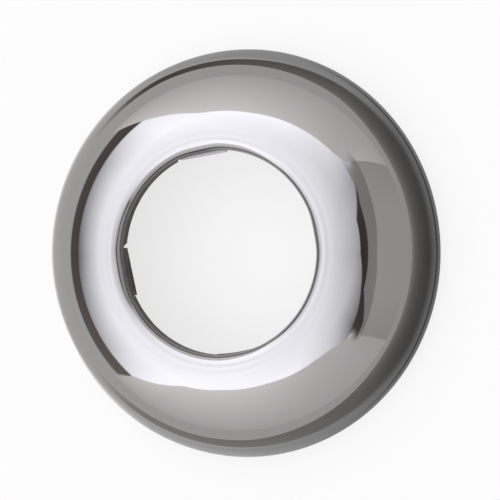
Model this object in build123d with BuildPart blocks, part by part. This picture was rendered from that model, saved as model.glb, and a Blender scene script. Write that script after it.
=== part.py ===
"""Tap escutcheon: a chrome-plated ring of pressed sheet brass that slips over a tap's sleeve
and hides the hole around it.

Millimetres, +Z up. The open back stands on z = 0 and the ring's axis is the Z axis. Azimuths
are counted anticlockwise from +X, seen from the front.
"""
import os
from math import sqrt

from build123d import *

# The ring
outer_diameter = 63.5
height = 14.0
sheet = 0.8
rim_rollover = 0.2

# The collar that the crown turns down into, round a bend, at the hole
collar_bore = 31.5
collar_depth = 3.0
bend = 1.6
crown_slope = 2.5

# The grip tabs: stretches of the collar's straight wall that are sheared free at both ends and
# pressed in. One end opens into a notch. The other stays a shear line, and stands out further
# from the wall. The tabs come in pairs that mirror each other, one of each hand.
tab_pairs = 2
first_tab_azimuth = 11.0
tab_span = 27.5
notch_end_press = 0.1
far_end_press = 0.3
notch_mouth = 1.0
notch_root = 0.2
shear_gap = 0.15

# Radii from the axis and heights that follow
rim_radius = outer_diameter / 2
collar_radius = collar_bore / 2
bend_radius = collar_radius + bend
bend_height = height - bend
collar_edge = height - collar_depth
half_span = tab_span / 2

# The dome is one arc. It runs on from the bend, at the crown's slope, and ends at the rim.
bend_centre = Vector(bend_radius, bend_height)
outward = Vector(0, 1).rotate(Axis.Z, -crown_slope)
to_rim = Vector(rim_radius, 0) - bend_centre
dome_radius = (to_rim.dot(to_rim) + bend**2 - 2 * bend * to_rim.dot(outward)) / (
    2 * (bend - to_rim.dot(outward))
)
dome_centre = bend_centre - outward * (dome_radius - bend)


def draw_dome(radius):
    """Draw an arc about the dome's centre from the bend to z = 0, and give its end there."""
    foot = Vector(dome_centre.X + sqrt(radius**2 - dome_centre.Y**2), 0)
    RadiusArc(dome_centre + outward * radius, foot, radius)
    return foot


# A tab is as round as the collar where it leaves the bend, and a straight strip at its free
# edge. Its ends lie in planes through the axis.
with BuildPart() as tab:
    with BuildSketch(Plane.XY.offset(bend_height)):
        with BuildLine():
            inner = CenterArc((0, 0), collar_radius, -half_span, tab_span)
            outer = CenterArc((0, 0), collar_radius + sheet, -half_span, tab_span)
            Line(inner @ 0, outer @ 0)
            Line(inner @ 1, outer @ 1)
        make_face()
    with BuildSketch(Plane.XY.offset(collar_edge)):
        with BuildLine():
            notch_end = Vector(1, 0).rotate(Axis.Z, -half_span)
            far_end = Vector(1, 0).rotate(Axis.Z, half_span)
            sheet_across = sheet / far_end.X
            Polyline(
                notch_end * (collar_radius - notch_end_press),
                far_end * (collar_radius - far_end_press),
                far_end * (collar_radius - far_end_press + sheet_across),
                notch_end * (collar_radius - notch_end_press + sheet_across),
                close=True,
            )
        make_face()
    loft(ruled=True)

# What is cut from the collar for a tab: the stretch of wall that it replaces, the notch at one
# end of it and the shear line at the other
with BuildPart() as tab_cuts:
    with BuildSketch(Plane.XY.offset(collar_edge)):
        reach = bend_radius / far_end.X
        Polygon((0, 0), notch_end * reach, far_end * reach, align=None)
    extrude(amount=bend_height - collar_edge)
    with BuildSketch(Plane.YZ.rotated((0, 0, -half_span)).offset(collar_radius - sheet)):
        with BuildLine():
            Polyline(
                (0, bend_height),
                (-notch_root, bend_height),
                (-notch_mouth, collar_edge),
                (0, collar_edge),
                close=True,
            )
        make_face()
    extrude(amount=3 * sheet)
    with BuildSketch(Plane.YZ.rotated((0, 0, half_span)).offset(collar_radius - sheet)):
        with Locations((0, collar_edge)):
            Rectangle(shear_gap, bend_height - collar_edge, align=(Align.MIN, Align.MIN))
    extrude(amount=3 * sheet)

# The same, of the other hand
with BuildPart() as mirrored_tab:
    mirror(tab.part, about=Plane.XZ)
with BuildPart() as mirrored_cuts:
    mirror(tab_cuts.part, about=Plane.XZ)

# The ring: collar, bend, crown and dome in one revolved section, then its tabs
with BuildPart() as escutcheon:
    with BuildSketch(Plane.XZ) as section:
        with BuildLine():
            CenterArc(bend_centre, bend, 180, -90 - crown_slope)
            outer_foot = draw_dome(dome_radius)
            inner_foot = draw_dome(dome_radius - sheet)
            Line(outer_foot, inner_foot)
            CenterArc(bend_centre, bend - sheet, 180, -90 - crown_slope)
            Polyline(
                (collar_radius, bend_height),
                (collar_radius, collar_edge),
                (collar_radius + sheet, collar_edge),
                (collar_radius + sheet, bend_height),
            )
        make_face()
        foot_corners = section.vertices().group_by(Axis.Y)[0]
        fillet(foot_corners.sort_by(Axis.X)[-1], radius=rim_rollover)
    revolve(axis=Axis.Z)
    with PolarLocations(0, tab_pairs, start_angle=first_tab_azimuth):
        add(tab_cuts.part, mode=Mode.SUBTRACT)
        add(tab.part)
    with PolarLocations(0, tab_pairs, start_angle=first_tab_azimuth + 180 / tab_pairs):
        add(mirrored_cuts.part, mode=Mode.SUBTRACT)
        add(mirrored_tab.part)

escutcheon.part.label = "escutcheon"
os.makedirs("parts", exist_ok=True)
export_step(escutcheon.part, "parts/escutcheon.step")
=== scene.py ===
"""Dresses the tap escutcheon: polished chrome on a pressed ring, lying on a pale floor in a light
tent. Metres, in the frame's own axes: +Z is the ring's axis, and azimuths turn from +X to +Y.
"""
from math import asin, atan, atan2, cos, degrees, hypot, pi, radians, sin, sqrt, tan

import bpy
from mathutils import Matrix, Vector


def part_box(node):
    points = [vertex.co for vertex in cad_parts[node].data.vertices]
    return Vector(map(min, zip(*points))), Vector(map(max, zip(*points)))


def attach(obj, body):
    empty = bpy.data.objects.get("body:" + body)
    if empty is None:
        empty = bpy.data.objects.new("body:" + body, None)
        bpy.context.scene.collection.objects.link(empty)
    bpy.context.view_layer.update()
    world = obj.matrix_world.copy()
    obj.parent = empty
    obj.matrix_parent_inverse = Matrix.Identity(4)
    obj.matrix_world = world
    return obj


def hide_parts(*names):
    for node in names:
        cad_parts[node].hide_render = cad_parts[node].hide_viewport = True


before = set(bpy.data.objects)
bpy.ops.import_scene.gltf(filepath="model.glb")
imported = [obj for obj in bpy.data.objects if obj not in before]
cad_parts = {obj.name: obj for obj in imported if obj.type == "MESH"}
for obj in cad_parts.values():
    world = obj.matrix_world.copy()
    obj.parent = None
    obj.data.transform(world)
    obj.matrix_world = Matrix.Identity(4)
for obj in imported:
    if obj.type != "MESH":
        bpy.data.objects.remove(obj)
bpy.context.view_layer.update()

# The ring
# One blank of sheet brass, drawn into a dome, pierced, and its hole edge turned back round a bend
# into a short collar. It is plated all over, and the face that shows was polished to a mirror.
rim_radius = 0.0635 / 2
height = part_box("escutcheon")[1].z
sheet = 0.0008
rim_rollover = 0.0002
sheared_edge = 0.00006

collar_radius = 0.0315 / 2
collar_depth = 0.003
collar_edge = height - collar_depth
bend = 0.0016
crown_slope = 2.5

bend_centre = Vector((collar_radius + bend, height - bend))
outward = Vector((sin(radians(crown_slope)), cos(radians(crown_slope))))
to_rim = Vector((rim_radius, 0)) - bend_centre
dome_radius = (to_rim.length_squared + bend**2 - 2 * bend * to_rim.dot(outward)) / (
    2 * (bend - to_rim.dot(outward))
)
dome_centre = bend_centre - outward * (dome_radius - bend)
inner_rim_radius = dome_centre.x + sqrt((dome_radius - sheet) ** 2 - dome_centre.y**2)
steps_around = 360


def start_section(point):
    """Put down the section's first point, given as radius and z, and stay in edit mode."""
    bpy.ops.object.select_all(action="DESELECT")
    bpy.ops.mesh.primitive_plane_add(size=sheet, location=(point.x, 0, point.y))
    bpy.ops.object.transform_apply(location=True)
    bpy.ops.object.mode_set(mode="EDIT")
    bpy.ops.mesh.select_all(action="SELECT")
    bpy.ops.mesh.merge(type="CENTER")


def swing(centre, turn, steps):
    """Draw an arc on from the last point, clockwise about a centre, by a turn in degrees."""
    pivot = (centre.x, 0, centre.y)
    bpy.ops.mesh.spin(steps=steps, angle=radians(turn), center=pivot, axis=(0, -1, 0))


def draw(across, up, steps=1):
    """Draw a straight run on from the last point."""
    for _ in range(steps):
        move = {"value": (across / steps, 0, up / steps)}
        bpy.ops.mesh.extrude_region_move(TRANSFORM_OT_translate=move)


def dome_turn(radius, foot):
    """Say how far, in degrees, an arc of the dome turns from the bend down to its foot."""
    return degrees(asin((foot - dome_centre.x) / radius)) - crown_slope


def pick(mode, wanted):
    """Select, in edit mode, the vertices that a rule picks and what lies between them."""
    bpy.ops.mesh.select_all(action="DESELECT")
    bpy.ops.mesh.select_mode(type="VERT")
    bpy.ops.object.mode_set(mode="OBJECT")
    for vertex in bpy.context.object.data.vertices:
        vertex.select = wanted(hypot(vertex.co.x, vertex.co.y), vertex.co.z)
    bpy.ops.object.mode_set(mode="EDIT")
    bpy.ops.mesh.select_mode(type=mode)


near = 0.00001
start_section(bend_centre + outward * bend)
swing(dome_centre, dome_turn(dome_radius, rim_radius), 72)
draw(inner_rim_radius - rim_radius, 0)
swing(dome_centre, -dome_turn(dome_radius - sheet, inner_rim_radius), 40)
swing(bend_centre, -90 - crown_slope, 12)
draw(0, collar_edge - bend_centre.y, 6)
draw(-sheet, 0)
draw(0, bend_centre.y - collar_edge, 6)
swing(bend_centre, 90 + crown_slope, 24)
bpy.ops.mesh.select_all(action="SELECT")
bpy.ops.mesh.remove_doubles(threshold=near / 10)
bpy.ops.mesh.spin(steps=steps_around, angle=2 * pi, center=(0, 0, 0), axis=(0, 0, 1))
bpy.ops.mesh.select_all(action="SELECT")
bpy.ops.mesh.remove_doubles(threshold=near / 10)
bpy.ops.mesh.normals_make_consistent(inside=False)
ring = bpy.context.object
ring.name = "ring"

# The press rolls the rim over a little, and its shears leave the other edges nearly sharp.
pick("EDGE", lambda radius, z: z < near and radius > rim_radius - near)
bpy.ops.mesh.bevel(offset=rim_rollover, segments=6)
pick("EDGE", lambda radius, z: z < near and radius < inner_rim_radius + near)
bpy.ops.mesh.bevel(offset=sheared_edge, segments=2)
pick("EDGE", lambda radius, z: abs(z - collar_edge) < near and radius < collar_radius + near)
bpy.ops.mesh.bevel(offset=sheared_edge, segments=2)
pick("EDGE", lambda radius, z: abs(z - collar_edge) < near and radius > collar_radius + sheet - near)
bpy.ops.mesh.bevel(offset=sheared_edge, segments=2)
bpy.ops.object.mode_set(mode="OBJECT")

# The grip tabs
# Four stretches of the collar, sheared free at both ends and pressed in until their free edges
# are straight. They spring against the sleeve. One end of each opens into a notch, and the other
# stands out further from the wall. Neighbours mirror each other.
tab_count = 4
tab_step = 2 * pi / tab_count
first_tab_azimuth = radians(11)
half_span = radians(27.5) / 2
hands = (1, -1, 1, -1)
notch_end_press = 0.0001
far_end_press = 0.0003
notch_mouth = 0.001
notch_root = 0.0002
shear_gap = 0.00015
bend_dip = 0.0002

# The press did not reach all four alike, and the shears tore the free edge a little.
pressed_home = (0.75, 1, 1, 0.4)
tear_depth = 0.0002
tear_width = 0.0008


def stand_cutter(azimuth, side, mouth, root):
    """Stand a tapered block through the collar beside one end of a tab."""
    bpy.ops.mesh.primitive_cube_add(size=1)
    block = bpy.context.object
    for vertex in block.data.vertices:
        low, out = vertex.co.z < 0, vertex.co.y > 0
        vertex.co.x = collar_radius + sheet / 2 + 3 * sheet * vertex.co.x
        vertex.co.y = side * (mouth if low else root) if out else 0
        vertex.co.z = collar_edge - sheet / 2 if low else bend_centre.y
    bpy.ops.object.mode_set(mode="EDIT")
    bpy.ops.mesh.select_all(action="SELECT")
    bpy.ops.mesh.normals_make_consistent(inside=False)
    bpy.ops.object.mode_set(mode="OBJECT")
    block.rotation_euler.z = azimuth
    bpy.ops.object.transform_apply(rotation=True)
    return block


cutters = []
for number, hand in enumerate(hands):
    middle = first_tab_azimuth + tab_step * number
    cutters.append(stand_cutter(middle - hand * half_span, -hand, notch_mouth, notch_root))
    cutters.append(stand_cutter(middle + hand * half_span, hand, shear_gap, shear_gap))
bpy.ops.object.select_all(action="DESELECT")
for cutter in cutters:
    cutter.select_set(True)
bpy.ops.object.join()
cutter = bpy.context.object
ring.select_set(True)
bpy.context.view_layer.objects.active = ring
shears = ring.modifiers.new("shears", "BOOLEAN")
shears.object = cutter
shears.solver = "EXACT"
bpy.ops.object.modifier_apply(modifier=shears.name)
bpy.data.objects.remove(cutter)


def find_tab(place):
    """Say which tab a place on the collar is nearest to, and how far round from its middle."""
    azimuth = atan2(place.y, place.x) - first_tab_azimuth
    number = round(azimuth / tab_step) % tab_count
    return number, (azimuth - number * tab_step + pi) % (2 * pi) - pi


def find_drop(place):
    """Say how far down the collar's straight wall a place is, from 0 at the bend to 1."""
    return max(0, (bend_centre.y - place.z) / (bend_centre.y - collar_edge))


def find_rise(place):
    """Say how far round the bend a place is, in degrees, up from the collar's wall."""
    radius = hypot(place.x, place.y)
    return max(0, degrees(atan2(place.z - bend_centre.y, bend_centre.x - radius)))


# Pressed in, a tab curls from the bend to its straight free edge, and draws the bend in a little.
notch_end = collar_radius - notch_end_press
far_end = collar_radius - far_end_press
skew = atan((notch_end - far_end) / (notch_end + far_end) / tan(half_span))
free_edge_reach = notch_end * cos(half_span + skew)
for vertex in ring.data.vertices:
    radius = hypot(vertex.co.x, vertex.co.y)
    number, off_middle = find_tab(vertex.co)
    if radius > bend_centre.x or abs(off_middle) > half_span + near:
        continue
    drop = find_drop(vertex.co) ** 2
    strip = (free_edge_reach + radius - collar_radius) / cos(hands[number] * off_middle - skew)
    dip = cos(pi / 2 * off_middle / half_span) ** 2 * cos(radians(find_rise(vertex.co))) ** 2
    shift = (strip - radius) * drop - bend_dip * dip * (1 - drop)
    scale = 1 + shift * pressed_home[number] / radius
    vertex.co.x *= scale
    vertex.co.y *= scale

torn = ring.vertex_groups.new(name="torn")
for vertex in ring.data.vertices:
    radius = hypot(vertex.co.x, vertex.co.y)
    if radius < bend_centre.x and vertex.co.z < collar_edge + 2 * sheared_edge:
        torn.add([vertex.index], 1, "REPLACE")
grain = bpy.data.textures.new("torn", "CLOUDS")
grain.noise_scale = tear_width
tear = ring.modifiers.new("tear", "DISPLACE")
tear.texture = grain
tear.direction = "Z"
tear.strength = tear_depth
tear.vertex_group = torn.name
bpy.ops.object.select_all(action="DESELECT")
ring.select_set(True)
bpy.ops.object.modifier_apply(modifier=tear.name)
bpy.ops.object.shade_smooth_by_angle(angle=radians(30))

# The plating
# The mop polished the face to a mirror and ran out part of the way round the bend, further down
# on the +X side. Below that the wall kept a dull plate, and its dark mottled colour is painted
# shade in the collar's recess. On the tabs, where the press slid over them, the plate is scuffed
# rough and painted pale, and the pale colour is a painted reflection.
dull_roughness = 0.4
scuffed_roughness = 0.9
# How far each tab is scuffed rough; the same share paints its colour pale, which is a painted
# reflection.
tab_scuff_and_reflection = (0.3, 1, 0.1, 0.1)
dent_depth = 0.0000025
line_depth = 0.0000001
line_drift = 0.0006

# How far up the bend, in degrees, the mirror finish is full, and how much sooner that is on the +X
# side. Below that the colour fades into the painted shade of the collar wall.
mop_starts = 32
mop_lean = 13

# The press left faint rings near the bend, and one shallow wave just outside it.
rings_fade = 0.0195
rings_full = 0.0172
ring_depth = 0.000003
wave_crest = 0.0176
wave_width = 0.0014
wave_depth = 0.00002


def new_material(name):
    """Start a material, and hand back a way to add a node, its links and its shader."""
    material = bpy.data.materials.new(name)
    material.use_nodes = True
    tree = material.node_tree
    shader = next(node for node in tree.nodes if node.type == "BSDF_PRINCIPLED")

    def add(kind, **settings):
        node = tree.nodes.new("ShaderNode" + kind)
        for setting, value in settings.items():
            if setting in node.inputs:
                node.inputs[setting].default_value = value
            else:
                setattr(node, setting, value)
        return node

    return material, add, tree.links.new, shader


# 1 where the plate is mirror-polished; towards 0 it is dull and takes the painted shade of the wall.
polish_and_shade = ring.data.attributes.new("polish_and_shade", "FLOAT", "POINT")
scuff_and_reflection = ring.data.attributes.new("scuff_and_reflection", "FLOAT", "POINT")
for vertex in ring.data.vertices:
    radius = hypot(vertex.co.x, vertex.co.y)
    mopped_and_unshaded = min(1, find_rise(vertex.co) / (mop_starts - mop_lean * vertex.co.x / radius))
    outside = radius > bend_centre.x
    polish_and_shade.data[vertex.index].value = 1 if outside else mopped_and_unshaded
    number, off_middle = find_tab(vertex.co)
    if abs(off_middle) < half_span + near and not outside:
        scuff_and_reflection.data[vertex.index].value = tab_scuff_and_reflection[number] * min(1, 2 * find_drop(vertex.co))

# Mirror chrome. The sheet under it is not quite even, and the mop left hairlines round the ring
# and a slight haze that comes and goes.
chrome, add, link, shader = new_material("chrome plate")
shader.inputs["Metallic"].default_value = 1
place = add("TexCoord")
reach_and_shade = add("Attribute", attribute_name="polish_and_shade")

mottle = add("TexNoise", Scale=900.0, Detail=6.0, Roughness=0.65)
link(place.outputs["Object"], mottle.inputs["Vector"])
# The dark mottled colour of the unpolished wall is painted shade, standing for the shade in the collar's
# recess.
painted_wall_shade = add("ValToRGB")
painted_wall_shade.color_ramp.elements[0].position = 0.3
painted_wall_shade.color_ramp.elements[0].color = (0.04, 0.036, 0.032, 1)
painted_wall_shade.color_ramp.elements[1].position = 0.75
painted_wall_shade.color_ramp.elements[1].color = (0.12, 0.108, 0.1, 1)
link(mottle.outputs["Fac"], painted_wall_shade.inputs["Fac"])
colour = add("MixRGB", Color2=(0.55, 0.56, 0.57, 1))
link(reach_and_shade.outputs["Fac"], colour.inputs["Fac"])
link(painted_wall_shade.outputs["Color"], colour.inputs["Color1"])
# On the tabs the scuffing raises the roughness, and the pale colour mixed in here is a painted
# reflection.
read_scuff_and_reflection = add("Attribute", attribute_name="scuff_and_reflection")
painted_tab_reflection = add("MixRGB", Color2=(0.9, 0.87, 0.91, 1))
link(read_scuff_and_reflection.outputs["Fac"], painted_tab_reflection.inputs["Fac"])
link(colour.outputs["Color"], painted_tab_reflection.inputs["Color1"])
link(painted_tab_reflection.outputs["Color"], shader.inputs["Base Color"])

haze = add("TexNoise", Scale=240.0, Detail=5.0)
link(place.outputs["Object"], haze.inputs["Vector"])
haze_range = add("MapRange")
haze_range.inputs["From Min"].default_value = 0.35
haze_range.inputs["From Max"].default_value = 0.75
haze_range.inputs["To Min"].default_value = 0.03
haze_range.inputs["To Max"].default_value = 0.075
link(haze.outputs["Fac"], haze_range.inputs["Value"])
full_mop = add("Math", operation="POWER")
full_mop.inputs[1].default_value = 3
link(reach_and_shade.outputs["Fac"], full_mop.inputs[0])
gloss = add("Mix", A=dull_roughness)
link(full_mop.outputs[0], gloss.inputs["Factor"])
link(haze_range.outputs["Result"], gloss.inputs["B"])
dulled = add("Mix", B=scuffed_roughness)
link(read_scuff_and_reflection.outputs["Fac"], dulled.inputs["Factor"])
link(gloss.outputs["Result"], dulled.inputs["A"])
link(dulled.outputs["Result"], shader.inputs["Roughness"])

unevenness = add("TexNoise", Scale=190.0, Detail=1.0)
link(place.outputs["Object"], unevenness.inputs["Vector"])
sheet_bump = add("Bump", Strength=1.0, Distance=dent_depth)
link(unevenness.outputs["Fac"], sheet_bump.inputs["Height"])

flat = add("VectorMath", operation="MULTIPLY")
flat.inputs[1].default_value = (1, 1, 0)
link(place.outputs["Object"], flat.inputs[0])
from_axis = add("VectorMath", operation="LENGTH")
link(flat.outputs[0], from_axis.inputs[0])
rings = add("TexNoise", Scale=1900.0, Detail=1.0)
rings.noise_dimensions = "1D"
link(from_axis.outputs["Value"], rings.inputs["W"])
by_bend = add("MapRange", interpolation_type="SMOOTHSTEP")
by_bend.inputs["From Min"].default_value = rings_fade
by_bend.inputs["From Max"].default_value = rings_full
link(from_axis.outputs["Value"], by_bend.inputs["Value"])
ring_height = add("Math", operation="MULTIPLY")
link(rings.outputs["Fac"], ring_height.inputs[0])
link(by_bend.outputs["Result"], ring_height.inputs[1])
ring_bump = add("Bump", Strength=1.0, Distance=ring_depth)
link(ring_height.outputs[0], ring_bump.inputs["Height"])
link(sheet_bump.outputs["Normal"], ring_bump.inputs["Normal"])

past_crest = add("Math", operation="SUBTRACT")
past_crest.inputs[1].default_value = wave_crest
link(from_axis.outputs["Value"], past_crest.inputs[0])
phase = add("Math", operation="MULTIPLY")
phase.inputs[1].default_value = 2 * pi / wave_width
link(past_crest.outputs[0], phase.inputs[0])
wave = add("Math", operation="COSINE")
link(phase.outputs[0], wave.inputs[0])
wave_height = add("Math", operation="MULTIPLY")
link(wave.outputs[0], wave_height.inputs[0])
link(by_bend.outputs["Result"], wave_height.inputs[1])
wave_bump = add("Bump", Strength=1.0, Distance=wave_depth)
link(wave_height.outputs[0], wave_bump.inputs["Height"])
link(ring_bump.outputs["Normal"], wave_bump.inputs["Normal"])

# Marks that run round the ring change slowly with the bearing and fast across it.
bearing = add("VectorMath", operation="NORMALIZE")
link(flat.outputs[0], bearing.inputs[0])
slow = add("VectorMath", operation="SCALE", Scale=line_drift)
link(bearing.outputs[0], slow.inputs[0])
split = add("SeparateXYZ")
link(place.outputs["Object"], split.inputs[0])
across = add("Math", operation="SUBTRACT")
link(from_axis.outputs["Value"], across.inputs[0])
link(split.outputs["Z"], across.inputs[1])
rise = add("CombineXYZ")
link(across.outputs[0], rise.inputs["Z"])
spun = add("VectorMath", operation="ADD")
link(slow.outputs[0], spun.inputs[0])
link(rise.outputs[0], spun.inputs[1])
hairlines = add("TexNoise", Scale=5200.0, Detail=3.0, Roughness=0.6)
link(spun.outputs[0], hairlines.inputs["Vector"])
line_bump = add("Bump", Strength=1.0, Distance=line_depth)
link(hairlines.outputs["Fac"], line_bump.inputs["Height"])
link(wave_bump.outputs["Normal"], line_bump.inputs["Normal"])
link(line_bump.outputs["Normal"], shader.inputs["Normal"])

# The back, which no mop reached: the same plate, matt and a little blotched, as it left the bath.
blotch_depth = 0.000004
bare_back, add, link, shader = new_material("unpolished plate")
shader.inputs["Metallic"].default_value = 1
place = add("TexCoord")
blotches = add("TexNoise", Scale=400.0, Detail=6.0, Roughness=0.65)
link(place.outputs["Object"], blotches.inputs["Vector"])
tones = add("ValToRGB")
tones.color_ramp.elements[0].position = 0.3
tones.color_ramp.elements[0].color = (0.2, 0.19, 0.175, 1)
tones.color_ramp.elements[1].position = 0.75
tones.color_ramp.elements[1].color = (0.42, 0.4, 0.37, 1)
link(blotches.outputs["Fac"], tones.inputs["Fac"])
link(tones.outputs["Color"], shader.inputs["Base Color"])
dull_range = add("MapRange")
dull_range.inputs["To Min"].default_value = 0.28
dull_range.inputs["To Max"].default_value = 0.5
link(blotches.outputs["Fac"], dull_range.inputs["Value"])
link(dull_range.outputs["Result"], shader.inputs["Roughness"])
blotch_bump = add("Bump", Strength=1.0, Distance=blotch_depth)
link(blotches.outputs["Fac"], blotch_bump.inputs["Height"])
link(blotch_bump.outputs["Normal"], shader.inputs["Normal"])

# Every face that turns away from the polished side belongs to the back.
ring.data.materials.append(chrome)
ring.data.materials.append(bare_back)
for face in ring.data.polygons:
    radius = hypot(face.center.x, face.center.y)
    facing = Vector((face.normal.xy.dot(face.center.xy) / radius, face.normal.z))
    front = Vector((-1, 0))
    if radius > bend_centre.x:
        front = Vector((radius, face.center.z)) - dome_centre
    elif face.center.z > bend_centre.y:
        front = Vector((radius, face.center.z)) - bend_centre
    if facing.dot(front.normalized()) < -0.2:
        face.material_index = 1
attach(ring, "root")
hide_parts("escutcheon")

# The floor
# A pale, matt sheet under the ring. A part of its paleness is its own glow, so that it is as
# pale seen through the hole, and in the chrome, as it is in the open.
floor_glow = 0.74
paper_tone = (0.26, 0.26, 0.26, 1)
bpy.ops.object.select_all(action="DESELECT")
bpy.ops.mesh.primitive_circle_add(vertices=96, radius=1.5, fill_type="NGON")
floor = bpy.context.object
floor.name = "floor"
paper, add, link, shader = new_material("pale paper")
shader.inputs["Base Color"].default_value = paper_tone
shader.inputs["Roughness"].default_value = 0.9
shader.inputs["Specular IOR Level"].default_value = 0
rays = add("LightPath")
seen = add("Math", operation="MAXIMUM")
link(rays.outputs["Is Camera Ray"], seen.inputs[0])
link(rays.outputs["Is Glossy Ray"], seen.inputs[1])
seen_through = add("Math", operation="MAXIMUM")
link(seen.outputs[0], seen_through.inputs[0])
link(rays.outputs["Is Transmission Ray"], seen_through.inputs[1])
glow = add("Math", operation="MULTIPLY")
glow.inputs[1].default_value = floor_glow
link(seen_through.outputs[0], glow.inputs[0])
link(glow.outputs[0], shader.inputs["Emission Strength"])
floor.data.materials.append(paper)

# The light tent
# Plain cloth panels all round, which the chrome mirrors. Each hangs between two edges, given as
# points of azimuth, elevation and tone, and shades evenly from one edge to the other. Where two
# overlap, the one that hangs nearer shows.
tent_radius = 1.5
warm = (1, 0.94, 0.93, 1)
sandy = (1, 0.95, 0.91, 1)
brown = (1, 0.82, 0.76, 1)
cool = (0.98, 0.96, 1, 1)
plain = (1, 0.99, 0.98, 1)


def read_edge(azimuth, edge):
    """Read a panel's edge at an azimuth."""
    for first, second in zip(edge, edge[1:]):
        if azimuth <= second[0]:
            share = (azimuth - first[0]) / (second[0] - first[0])
            return [a + (b - a) * share for a, b in zip(first[1:], second[1:])]
    return edge[-1][1:]


def thin_out(place, soft):
    """Say how far the cloth covers at a place from 0 to 1 across it, where its ends are thin."""
    return min(1, min(place, 1 - place) / soft) if soft else 1


def make_panel(name, tint, lower, upper, put, soft_ends, soft_sides):
    """Make a lit panel between two edges. Put turns an azimuth and a reading into a place."""
    bpy.ops.object.select_all(action="DESELECT")
    bpy.ops.mesh.primitive_grid_add(x_subdivisions=72, y_subdivisions=20, size=2)
    panel = bpy.context.object
    panel.name = name
    tone = panel.data.attributes.new("tone", "FLOAT", "POINT")
    cover = panel.data.attributes.new("cover", "FLOAT", "POINT")
    for vertex in panel.data.vertices:
        along, up = (vertex.co.x + 1) / 2, (vertex.co.y + 1) / 2
        azimuth = lower[0][0] + (lower[-1][0] - lower[0][0]) * along
        low, high = read_edge(azimuth, lower), read_edge(azimuth, upper)
        reading, shade = [a + (b - a) * up for a, b in zip(low, high)]
        tone.data[vertex.index].value = shade
        cover.data[vertex.index].value = thin_out(along, soft_ends) * thin_out(up, soft_sides)
        vertex.co = put(radians(azimuth), reading)
    cloth = bpy.data.materials.new(name)
    cloth.use_nodes = True
    nodes, links = cloth.node_tree.nodes, cloth.node_tree.links
    nodes.clear()
    light = nodes.new("ShaderNodeEmission")
    light.inputs["Color"].default_value = tint
    read_tone = nodes.new("ShaderNodeAttribute")
    read_tone.attribute_name = "tone"
    links.new(read_tone.outputs["Fac"], light.inputs["Strength"])
    read_cover = nodes.new("ShaderNodeAttribute")
    read_cover.attribute_name = "cover"
    weave = nodes.new("ShaderNodeMixShader")
    links.new(read_cover.outputs["Fac"], weave.inputs["Fac"])
    links.new(nodes.new("ShaderNodeBsdfTransparent").outputs["BSDF"], weave.inputs[1])
    links.new(light.outputs["Emission"], weave.inputs[2])
    links.new(weave.outputs["Shader"], nodes.new("ShaderNodeOutputMaterial").inputs["Surface"])
    panel.data.materials.append(cloth)
    panel.visible_camera = False
    return panel


def hang_panel(name, tint, wall, lower, upper, soft_ends=0, soft_sides=0):
    """Hang a panel on the tent's wall, at a distance, between elevations in degrees."""

    def put(azimuth, elevation):
        out = wall * cos(radians(elevation))
        return out * cos(azimuth), out * sin(azimuth), wall * sin(radians(elevation))

    make_panel(name, tint, lower, upper, put, soft_ends, soft_sides)


def lay_card(name, tint, lift, inner, outer, soft_ends=0, soft_sides=0):
    """Lay a card on the floor, between radii. Only the chrome sees it."""

    def put(azimuth, radius):
        return radius * cos(azimuth), radius * sin(azimuth), lift

    card = make_panel(name, tint, inner, outer, put, soft_ends, soft_sides)
    card.visible_diffuse = False
    card.visible_shadow = False


roof_edge = [(0, 67, 0.72), (45, 67, 0.92), (90, 67, 1.36), (135, 67, 1.6), (180, 67, 1.48),
             (225, 67, 1.68), (270, 67, 1.52), (315, 67, 1), (360, 67, 0.72)]
hang_panel("roof", cool, tent_radius, roof_edge, [(0, 90, 1.15), (360, 90, 1.15)])
hang_panel(
    "roof_skirt",
    cool,
    tent_radius,
    [(0, 58, 0.46), (40, 44, 0.55), (60, 42, 1.3), (90, 45, 1.82), (130, 47, 1.82), (180, 48, 1.3),
     (225, 48, 1.82), (275, 48, 1.82), (300, 42, 1.1), (320, 44, 0.2), (360, 58, 0.46)],
    roof_edge,
)
hang_panel(
    "left_wall",
    cool,
    1.45,
    [(105, 19, 1.8), (140, 19, 1.5), (155, 19, 0.65), (180, 19, 0.2), (205, 19, 0.75),
     (220, 19, 1.6), (247, 19, 1.8)],
    [(105, 50, 1.82), (140, 50, 1.8), (155, 50, 1.55), (180, 50, 1.38), (205, 50, 1.6),
     (225, 50, 1.82), (247, 50, 1.82)],
)
hang_panel(
    "left_gap",
    brown,
    1.42,
    [(138, 4, 0.12), (180, 4, 0.12), (218, 4, 0.22)],
    [(138, 20, 0.1), (180, 20, 0.1), (218, 20, 0.2)],
    soft_sides=0.1,
)
hang_panel("left_sill", plain, 1.44, [(138, -2, 0.58), (218, -2, 0.6)], [(138, 6, 0.5), (218, 6, 0.52)])
hang_panel(
    "top_wall",
    warm,
    1.4,
    [(36, -2, 0.56), (90, -2, 0.59), (147.5, -2, 0.66)],
    [(36, -1, 0.57), (40, 13, 0.68), (45, 30, 0.76), (50, 43, 0.74), (58, 46, 0.74), (75, 47, 0.85),
     (105, 48, 1), (117, 46, 1.05), (125, 44, 1.05), (136, 25, 1), (147.5, 0, 0.76)],
)
hang_panel(
    "bottom_wall",
    warm,
    1.4,
    [(212.5, -2, 0.62), (324, -2, 0.58)],
    [(212.5, 1, 0.64), (217, 21, 0.9), (222.5, 31, 1), (228, 45, 1.04), (240, 51, 1.04),
     (260, 54, 0.97), (290, 53, 0.78), (300, 51, 0.74), (310, 46, 0.7), (315.5, 42, 0.66),
     (320, 32, 0.62), (323, 15, 0.58), (324, -1, 0.56)],
)
hang_panel(
    "right_wall",
    sandy,
    1.42,
    [(-48, -2, 0.38), (-15, -2, 0.48), (20, -2, 0.47), (50, -2, 0.35)],
    [(-48, 36, 0.44), (-20, 44, 0.5), (20, 44, 0.49), (50, 36, 0.46)],
)
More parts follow.
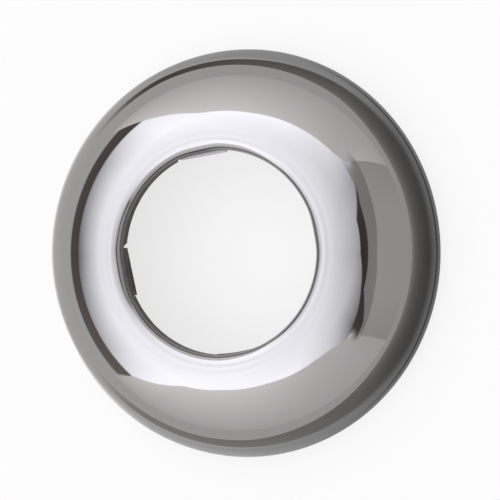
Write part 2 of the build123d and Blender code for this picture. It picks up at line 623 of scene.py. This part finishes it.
hang_panel(
    "right_band",
    sandy,
    1.36,
    [(-44, 30, 0.3), (-20, 37, 0.33), (0, 40, 0.33), (25, 36, 0.3), (44, 31, 0.3), (52, 31, 0.45)],
    [(-44, 44, 0.28), (-23, 51, 0.3), (0, 52, 0.32), (28, 52, 0.3), (38, 47, 0.3), (52, 46, 0.6)],
    soft_ends=0.08,
)
hang_panel(
    "lens_slot",
    brown,
    1.34,
    [(-45, 33, 0.08), (-35, 36, 0.07), (-27, 44, 0.06), (-20, 50, 0.06), (28, 50, 0.07), (39, 45, 0.12)],
    [(-45, 45, 0.1), (-32, 49, 0.07), (-20, 54, 0.06), (0, 60, 0.05), (22, 60, 0.07), (39, 46, 0.12)],
    soft_ends=0.06,
    soft_sides=0.08,
)

# Cards lie on the floor: one in the hole, shade under the ring, a table all round it, and an apron,
# a thin dark card and a dark board close to its rim. The thin dark card is painted shade: it stands
# for the ring's contact shade as the chrome mirrors it. Their edges are points of azimuth, radius
# and tone.
card_step = 0.00002
lay_card(
    "hole",
    plain,
    card_step,
    [(0, 0, 0.55), (360, 0, 0.55)],
    [(0, 0.012, 0.5), (360, 0.012, 0.5)],
)
lay_card(
    "shade",
    plain,
    card_step,
    [(0, 0.012, 0.5), (360, 0.012, 0.5)],
    [(0, 0.0318, 0.03), (90, 0.0318, 0.3), (180, 0.0318, 0.5), (270, 0.0318, 0.15),
     (360, 0.0318, 0.03)],
)
lay_card(
    "table",
    warm,
    card_step,
    [(0, 0.0318, 0.46), (90, 0.0318, 0.52), (180, 0.0318, 0.58), (270, 0.0318, 0.54),
     (360, 0.0318, 0.46)],
    [(0, 1.5, 0.48), (90, 1.5, 0.58), (180, 1.5, 0.62), (270, 1.5, 0.6), (360, 1.5, 0.48)],
)
lay_card(
    "apron",
    plain,
    2 * card_step,
    [(0, 0.0318, 0.24), (60, 0.0318, 0.3), (90, 0.0318, 0.36), (120, 0.0318, 0.44),
     (160, 0.0318, 1), (180, 0.0318, 1), (205, 0.0318, 1.6), (225, 0.0318, 1), (240, 0.0318, 0.56),
     (270, 0.0318, 0.48), (300, 0.0318, 0.3), (330, 0.0318, 0.25), (360, 0.0318, 0.24)],
    [(0, 0.037, 0.06), (35, 0.037, 0.1), (60, 0.037, 0.42), (90, 0.037, 0.4), (150, 0.037, 0.52),
     (210, 0.037, 0.6), (270, 0.037, 0.42), (300, 0.037, 0.36), (330, 0.037, 0.08),
     (360, 0.037, 0.06)],
)
# A thin dark card right at the rim: painted shade, for the ring's contact shade as the chrome mirrors
# it.
lay_card(
    "rim_shade_card",
    plain,
    3 * card_step,
    [(-60, 0.0323, 0.07), (75, 0.0323, 0.07)],
    [(-60, 0.033, 0.07), (75, 0.033, 0.07)],
    soft_ends=0.2,
    soft_sides=0.35,
)
lay_card(
    "dark_board",
    sandy,
    3 * card_step,
    [(-147, 0.0425, 0.36), (-120, 0.0395, 0.3), (-90, 0.0375, 0.3), (-60, 0.0357, 0.2),
     (-35, 0.0341, 0.09), (0, 0.0339, 0.07), (36, 0.0341, 0.09), (60, 0.0355, 0.13),
     (90, 0.0385, 0.13), (120, 0.0388, 0.08), (147, 0.0428, 0.26)],
    [(-147, 0.052, 0.34), (-90, 0.0515, 0.25), (-60, 0.064, 0.2), (-35, 0.09, 0.32),
     (0, 0.098, 0.38), (36, 0.085, 0.32), (60, 0.055, 0.26), (90, 0.05, 0.17),
     (120, 0.0468, 0.08), (147, 0.0505, 0.26)],
    soft_ends=0.06,
    soft_sides=0.015,
)

world = bpy.data.worlds.new("studio")
bpy.context.scene.world = world
world.use_nodes = True
world.node_tree.nodes["Background"].inputs["Color"].default_value = (1, 1, 1, 1)
world.node_tree.nodes["Background"].inputs["Strength"].default_value = 0.95

# The camera
# It looks down on the ring from the right, 19 degrees off its axis, through a long lens.
camera_distance = 0.934
off_axis = radians(19.22)
swung_down = radians(2)
view_width = 0.07786
aim_right = 0.00057
aim_up = 0.00048

bpy.ops.object.camera_add()
camera = bpy.context.object
back = Vector((sin(off_axis) * cos(swung_down), -sin(off_axis) * sin(swung_down), cos(off_axis)))
up = (Vector((0, 1, 0)) - back.y * back).normalized()
right = up.cross(back)
seat = back * camera_distance + right * aim_right + up * aim_up
camera.matrix_world = Matrix.Translation(seat) @ Matrix((right, up, back)).transposed().to_4x4()
camera.data.lens = camera.data.sensor_width * camera_distance / view_width
bpy.context.scene.camera = camera
bpy.context.scene.view_settings.view_transform = "Standard"

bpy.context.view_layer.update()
